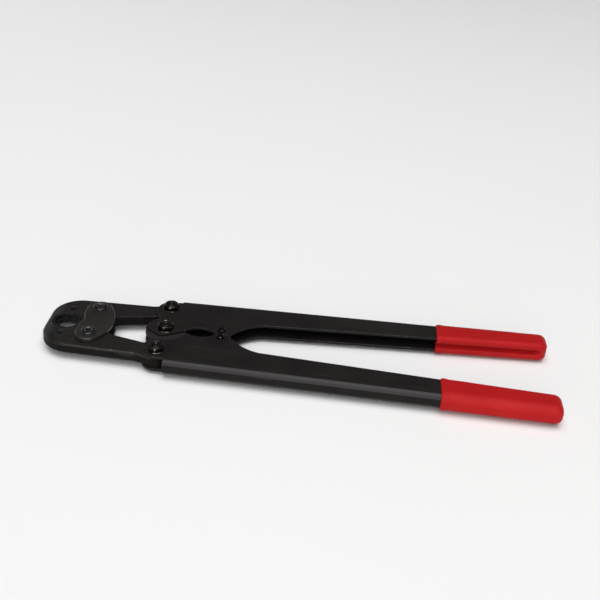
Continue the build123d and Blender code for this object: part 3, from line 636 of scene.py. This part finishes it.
nut_profile = [
    corner(NUT_BORE, NUT_BORE_FROM), corner(NUT_MOUTH, 0.0, ease=0.2),
    corner(NUT_FOOT, 0.0, flats=NUT_FLATS),
    corner(NUT_CORNER, NUT_CORNER_FROM, ease=0.12, flats=NUT_FLATS),
    corner(NUT_CORNER, NUT_CORNER_TO, ease=0.12, flats=NUT_FLATS),
    corner(NUT_CROWN, NUT_HEX_TOP, flats=NUT_FLATS), corner(NUT_COLLAR, NUT_HEX_TOP, ease=0.12),
    corner(NUT_COLLAR_RIM, NUT_TOP, ease=0.75), corner(NUT_TOP_MOUTH, NUT_TOP, ease=0.3),
    corner(NUT_RING, NUT_RING_LEVEL), corner(NUT_BORE, NUT_RING_LEVEL),
]
for place, angle in PIVOT_ANGLES.items():
    hexagon = turned_piece(nut_profile, [standing(f"{place}_nut", angle)], bored=True)
    nut = set_piece(hexagon, f"{place}_lock_nut", f"{place}_nut", zinc)
    crisp(nut)


# Closing stops
# A hexagon bolt through a hard bush on each handle. The two bushes meet when the jaws are shut.
# Bolt and nut are zinc plated like the pivots.
STOP_ANGLES = {"upper": 7.0, "lower": -12.0}
STOP_FLATS = 8.0
STOP_CORNER = 4.5
STOP_FOOT = 3.8
STOP_CROWN = 3.6
STOP_SHANK = 2.5
STOP_SHOULDER = 22.1
STOP_CORNER_FROM = 22.75
STOP_CORNER_TO = 24.25
STOP_TOP = 25.1
STOP_NUT_BORE = 2.55
STOP_NUT_BORE_FROM = 0.4
STOP_NUT_BORE_TO = 2.3
STOP_NUT_RIM = 2.95
STOP_NUT_CORNER_FROM = 0.55
STOP_NUT_CORNER_TO = 2.15
STOP_NUT_TOP = 2.7

stop_bolt_profile = [
    corner(0.0, 0.0), corner(STOP_SHANK, 0.0, ease=0.45), corner(STOP_SHANK, STOP_SHOULDER),
    corner(STOP_FOOT, STOP_SHOULDER, flats=STOP_FLATS),
    corner(STOP_CORNER, STOP_CORNER_FROM, ease=0.1, flats=STOP_FLATS),
    corner(STOP_CORNER, STOP_CORNER_TO, ease=0.1, flats=STOP_FLATS),
    corner(STOP_CROWN, STOP_TOP, flats=STOP_FLATS), corner(0.0, STOP_TOP),
]
stop_nut_profile = [
    corner(STOP_NUT_BORE, STOP_NUT_BORE_FROM), corner(STOP_NUT_RIM, 0.0),
    corner(STOP_FOOT, 0.0, flats=STOP_FLATS),
    corner(STOP_CORNER, STOP_NUT_CORNER_FROM, ease=0.1, flats=STOP_FLATS),
    corner(STOP_CORNER, STOP_NUT_CORNER_TO, ease=0.1, flats=STOP_FLATS),
    corner(STOP_FOOT, STOP_NUT_TOP, flats=STOP_FLATS), corner(STOP_NUT_RIM, STOP_NUT_TOP),
    corner(STOP_NUT_BORE, STOP_NUT_BORE_TO),
]
for side, angle in STOP_ANGLES.items():
    shank = turned_piece(stop_bolt_profile, [standing(f"{side}_stop_bolt", angle)])
    bolt = set_piece(shank, f"{side}_stop_screw", f"{side}_stop_bolt", zinc)
    crisp(bolt)
    hexagon = turned_piece(stop_nut_profile, [standing(f"{side}_stop_nut", angle)], bored=True)
    nut = set_piece(hexagon, f"{side}_stop_thin_nut", f"{side}_stop_nut", zinc)
    crisp(nut)
    sleeve = set_piece(rounded_copy(f"{side}_stop_sleeve", SPACER_EDGE_ROUND), f"{side}_stop_bush",
                       f"{side}_stop_sleeve", zinc)


# Grips
# Soft red vinyl, dipped hot over the handle ends and cured: it follows the channel, and sinks into
# its open side as a crease. In millimetres, a round given as its reach across and in height.
VINYL_WALL = 2.5
VINYL_INNER_WALL = 2.1
VINYL_BEND = (13.0, 9.5)
VINYL_ROLL = (5.6, 4.8)
END_ROUND = (9.0, 7.5)
END_STEPS = 12
LEAST_ROUND = 0.35
LIP_ROUND = 1.6
LIP_RISE = 0.45
LIP_LENGTH = 9.0
LIP_STEPS = 12
STATION_STEP = 3.0
CREASE_DEPTH = 7.0
CREASE_HALF = 4.5
CREASE_SHAPE = 1.6
CREASE_STEPS = 14
ROLL_STEPS = 10
TOP_STEPS = 8
BEND_STEPS = 16
SIDE_STEPS = 4
CREASE_STOP = 7.0
CREASE_FADE = 9.0
CREASE_SKIN = 1.3
POCKET_GAP = 0.1
POCKET_BEND = (7.0, 7.0)
POCKET_CORNER = (0.3, 0.3)
POCKET_STEPS = 4
SHEET_TOP = 9.3
WEB_FRONT = (124.0, 69.0)
FLANGE_FRONT = (226.0, 30.0)
FLANGE_REAR_WIDTH = 28.0
SWAY = 0.16
SWAY_WAVES = Vector((0.045, 0.06, 0.09))
SWAY_CALM_FRONT = 4.0
SWAY_CALM_END = 6.0
VINYL = (0.420, 0.0080, 0.0090, 1.0)
VINYL_DEEP = (0.372, 0.0064, 0.0075, 1.0)
VINYL_RUBBED = (0.465, 0.0170, 0.0190, 1.0)
VINYL_DULL = (0.44, 0.56)
VINYL_SHEEN = 0.12
VINYL_RELIEF = 0.00008
VINYL_CRISP_ANGLE = 50

grip_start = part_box("upper_grip")[0].x * MM
grip_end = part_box("upper_grip")[1].x * MM
grip_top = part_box("upper_grip")[1].z * MM
handle_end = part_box("upper_handle")[1].x * MM
web_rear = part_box("upper_handle")[1].y * MM


def line_between(front, rear, x):
    """How far out a straight line through two points lies, at a distance along the tool."""
    return front[1] + (rear[1] - front[1]) * (x - front[0]) / (rear[0] - front[0])


def web_line(x):
    """Outer side of the channel."""
    return line_between(WEB_FRONT, (handle_end, web_rear), x)


def flange_line(x):
    """Inner edge of the channel's flanges."""
    return line_between(FLANGE_FRONT, (handle_end, web_rear - FLANGE_REAR_WIDTH), x)


def crease_at(x):
    """Depth of the crease, which runs out before the closed end."""
    left = min(max((grip_end - CREASE_STOP - x) / CREASE_FADE, 0.0), 1.0)
    return CREASE_DEPTH * left * left * (3 - 2 * left)


def sleeve_loop(inside, outside, top, roll, bend, crease, skin=0.0):
    """Points round one section, from the middle of its inner side, as distance out and height."""
    points = []
    for step in range(CREASE_STEPS):
        level = (top - roll[1]) * step / CREASE_STEPS
        share = min(level / CREASE_HALF, 1.0)
        sunk = crease * (1 - share * share) ** CREASE_SHAPE
        points.append((inside + max(sunk - skin, 0.0), level))
    for step in range(ROLL_STEPS + 1):
        turn = math.radians(90 * step / ROLL_STEPS)
        points.append((inside + roll[0] * (1 - math.cos(turn)), top - roll[1] * (1 - math.sin(turn))))
    width = outside - bend[0] - inside - roll[0]
    for step in range(1, TOP_STEPS):
        points.append((inside + roll[0] + width * step / TOP_STEPS, top))
    for step in range(BEND_STEPS + 1):
        turn = math.radians(90 * step / BEND_STEPS)
        points.append((outside - bend[0] * (1 - math.sin(turn)), top - bend[1] * (1 - math.cos(turn))))
    for step in range(1, SIDE_STEPS + 1):
        points.append((outside, (top - bend[1]) * (1 - step / SIDE_STEPS)))
    mirrored = [(away, -level) for away, level in reversed(points[1:-1])]
    return points + mirrored


def grip_stations():
    """Stations along the grip: distance, inset across, inset in height."""
    stations = []
    for step in range(LIP_STEPS + 1):
        along = LIP_LENGTH * (step / LIP_STEPS) ** 2
        left = max(LIP_ROUND - along, 0.0)
        inset = LIP_ROUND - math.sqrt(LIP_ROUND ** 2 - left ** 2)
        inset -= LIP_RISE * math.sin(math.pi * along / LIP_LENGTH) ** 2
        stations.append((grip_start + along, inset, inset))
    along = grip_start + LIP_LENGTH + STATION_STEP
    while along < grip_end - END_ROUND[0] - STATION_STEP / 3:
        stations.append((along, 0.0, 0.0))
        along += STATION_STEP
    for step in range(END_STEPS + 1):
        turn = math.radians(90 * step / END_STEPS)
        stations.append((grip_end - END_ROUND[0] * (1 - math.sin(turn)),
                         END_ROUND[0] * (1 - math.cos(turn)), END_ROUND[1] * (1 - math.cos(turn))))
    return stations


def drawn_in(round_off, inset):
    """A round made smaller where its section is drawn in."""
    return [max(reach - max(inset, 0.0), LEAST_ROUND) for reach in round_off]


def dipped_grip(side):
    """Sleeve of one handle: outer skin, front lip, and the pocket that the channel fills."""
    rings = []
    pocket_end = handle_end + POCKET_GAP
    pocket = [pocket_end - CREASE_FADE * step / POCKET_STEPS for step in range(POCKET_STEPS + 1)]
    for x in pocket + [grip_start]:
        loop = sleeve_loop(flange_line(x) - POCKET_GAP, web_line(x) + POCKET_GAP, SHEET_TOP + POCKET_GAP,
                           POCKET_CORNER, POCKET_BEND, crease_at(x), CREASE_SKIN)
        rings.append([(x, side * away, level) for away, level in loop])
    for x, across, height in grip_stations():
        loop = sleeve_loop(flange_line(x) - VINYL_INNER_WALL + across, web_line(x) + VINYL_WALL - across,
                           grip_top - height, drawn_in(VINYL_ROLL, height), drawn_in(VINYL_BEND, height),
                           crease_at(x))
        calm = min(1.0, (x - grip_start) / SWAY_CALM_FRONT, (grip_end - x) / SWAY_CALM_END)
        heart = (flange_line(x) + web_line(x)) / 2
        ring = []
        for away, level in loop:
            sway = SWAY * calm * noise.noise(Vector((x, away, level)) * SWAY_WAVES)
            out = Vector((away - heart, level)).normalized()
            ring.append((x, side * (away + sway * out.x), level + sway * out.y))
        rings.append(ring)
    shape = bmesh.new()
    loops = []
    for ring in rings:
        loops.append([shape.verts.new([distance / MM for distance in point]) for point in ring])
    count = len(loops[0])
    for low, high in zip(loops, loops[1:]):
        for step in range(count):
            after = (step + 1) % count
            shape.faces.new((low[step], low[after], high[after], high[step]))
    shape.faces.new(loops[0])
    shape.faces.new(loops[-1])
    bmesh.ops.recalc_face_normals(shape, faces=shape.faces)
    for face in shape.faces:
        face.smooth = True
    return shape


vinyl = bpy.data.materials.new("dipped_red_vinyl")
vinyl.use_nodes = True
tree = vinyl.node_tree
shader = tree.nodes["Principled BSDF"]
touched = lay(tree, "ShaderNodeGroup", {"Amount": 0.35, "Smudge Size": 22.0}, {"node_tree": handling})
texture = lay(tree, "ShaderNodeGroup", {"Tooth": 1500.0, "Waves": 160.0, "Wave Share": 2.2},
              {"node_tree": surface_grain})
deep = blend_colour(tree, touched.outputs["Smudges"], VINYL, VINYL_DEEP)
rubbed = blend_colour(tree, touched.outputs["Scuffs"], deep, VINYL_RUBBED)
tree.links.new(rubbed, shader.inputs["Base Color"])
tree.links.new(ramp(tree, touched.outputs["Smudges"], 0.0, 1.0, *VINYL_DULL), shader.inputs["Roughness"])
shader.inputs["Specular IOR Level"].default_value = VINYL_SHEEN
bump = lay(tree, "ShaderNodeBump", {"Strength": 0.5, "Distance": VINYL_RELIEF,
                                    "Height": texture.outputs["Height"]})
tree.links.new(bump.outputs["Normal"], shader.inputs["Normal"])
for side, sign in (("upper", 1), ("lower", -1)):
    grip = set_piece(dipped_grip(sign), f"{side}_dipped_grip", f"{side}_grip", vinyl)
    crisp(grip, VINYL_CRISP_ANGLE)


# Floor
# A plain pale studio floor, level with the lowest screw heads. It is no part of the tool.
FLOOR_REACH = 3.4
FLOOR_SIDES = 256
FLOOR_PALE = (0.87, 0.87, 0.865, 1.0)
FLOOR_SHADE = (0.85, 0.85, 0.845, 1.0)
FLOOR_CLOUDS = 3.0
FLOOR_DULL = 0.75
FLOOR_SHEEN = 0.2

middle_x = (cad_box[0][0] + cad_box[1][0]) / 2
ground = bmesh.new()
bmesh.ops.create_circle(ground, cap_ends=True, segments=FLOOR_SIDES, radius=FLOOR_REACH)
bmesh.ops.translate(ground, verts=ground.verts, vec=(middle_x, 0.0, cad_box[0][2]))
floor_mesh = bpy.data.meshes.new("studio_floor")
ground.to_mesh(floor_mesh)
ground.free()
floor = bpy.data.objects.new("studio_floor", floor_mesh)
bpy.context.scene.collection.objects.link(floor)
pale = bpy.data.materials.new("pale_floor")
pale.use_nodes = True
tree = pale.node_tree
shader = tree.nodes["Principled BSDF"]
clouded = blend_colour(tree, cloud(tree, FLOOR_CLOUDS, detail=2.0), FLOOR_PALE, FLOOR_SHADE)
tree.links.new(clouded, shader.inputs["Base Color"])
shader.inputs["Roughness"].default_value = FLOOR_DULL
shader.inputs["Specular IOR Level"].default_value = FLOOR_SHEEN
floor_mesh.materials.append(pale)


# Light
# Softboxes in front and overhead meet in one long highlight on every outer bend, and a small panel
# shows in the jaws' flats. The surround is dim above, for black flats, and pale at the horizon.
SURROUND_ABOVE = (0.040, 0.040, 0.041, 1.0)
SURROUND_LOW = (0.98, 0.98, 0.98, 1.0)
PALE_UP_TO = 0.06
DIM_FROM = 0.26
FILL_FROM = (0.10, -0.25, 1.0)
FILL_SPREAD = 50.0
FILL_STRENGTH = 0.55
SOFTBOXES = [
    ("overhead_softbox", (0.20, -0.68, 6.4), (0.20, -0.68, 0.0), 5.4, 6.0, 285.0),
    ("front_softbox", (0.25, -5.54, 3.20), (0.25, 0.0, 0.0), 5.4, 7.2, 285.0),
    ("left_rear_panel", (-1.35, 1.60, 0.80), (0.03, 0.0, 0.0), 0.70, 0.50, 1.5),
]

world = bpy.data.worlds.new("grey_surround")
world.use_nodes = True
tree = world.node_tree
facing = lay(tree, "ShaderNodeTexCoord", {}).outputs["Generated"]
upward = lay(tree, "ShaderNodeSeparateXYZ", {"Vector": facing}).outputs["Z"]
dimmed = ramp(tree, upward, PALE_UP_TO, DIM_FROM)
surround = blend_colour(tree, dimmed, SURROUND_LOW, SURROUND_ABOVE)
tree.links.new(surround, tree.nodes["Background"].inputs["Color"])
bpy.context.scene.world = world
fill = bpy.data.lights.new("ceiling_fill", "SUN")
fill.angle = math.radians(FILL_SPREAD)
fill.energy = FILL_STRENGTH
fill_light = bpy.data.objects.new("ceiling_fill", fill)
fill_light.matrix_world = Vector(FILL_FROM).to_track_quat("Z", "Y").to_matrix().to_4x4()
bpy.context.scene.collection.objects.link(fill_light)
for name, place, target, width, depth, power in SOFTBOXES:
    lamp = bpy.data.lights.new(name, "AREA")
    lamp.shape = "RECTANGLE"
    lamp.size = width
    lamp.size_y = depth
    lamp.energy = power
    box = bpy.data.objects.new(name, lamp)
    aim = (Vector(target) - Vector(place)).to_track_quat("-Z", "Y")
    box.matrix_world = Matrix.Translation(place) @ aim.to_matrix().to_4x4()
    box.visible_camera = False
    bpy.context.scene.collection.objects.link(box)
bpy.context.scene.view_settings.view_transform = "Standard"


# Camera
# Stands a little right of the middle, about a metre off, looking 29 degrees down.
CAMERA_PLACE = (0.298137, -0.955167, 0.605463)
CAMERA_YAW = 1.9155
CAMERA_PITCH = 29.456
CAMERA_ROLL = 5.1987
CAMERA_LENS = 58.806
CAMERA_SENSOR = 36.0

lens = bpy.data.cameras.new("photo_camera")
lens.lens = CAMERA_LENS
lens.sensor_width = CAMERA_SENSOR
camera = bpy.data.objects.new("photo_camera", lens)
camera.matrix_world = (
    Matrix.Translation(CAMERA_PLACE)
    @ Matrix.Rotation(math.radians(CAMERA_YAW), 4, "Z")
    @ Matrix.Rotation(math.radians(90 - CAMERA_PITCH), 4, "X")
    @ Matrix.Rotation(math.radians(CAMERA_ROLL), 4, "Z")
)
bpy.context.scene.collection.objects.link(camera)
bpy.context.scene.camera = camera
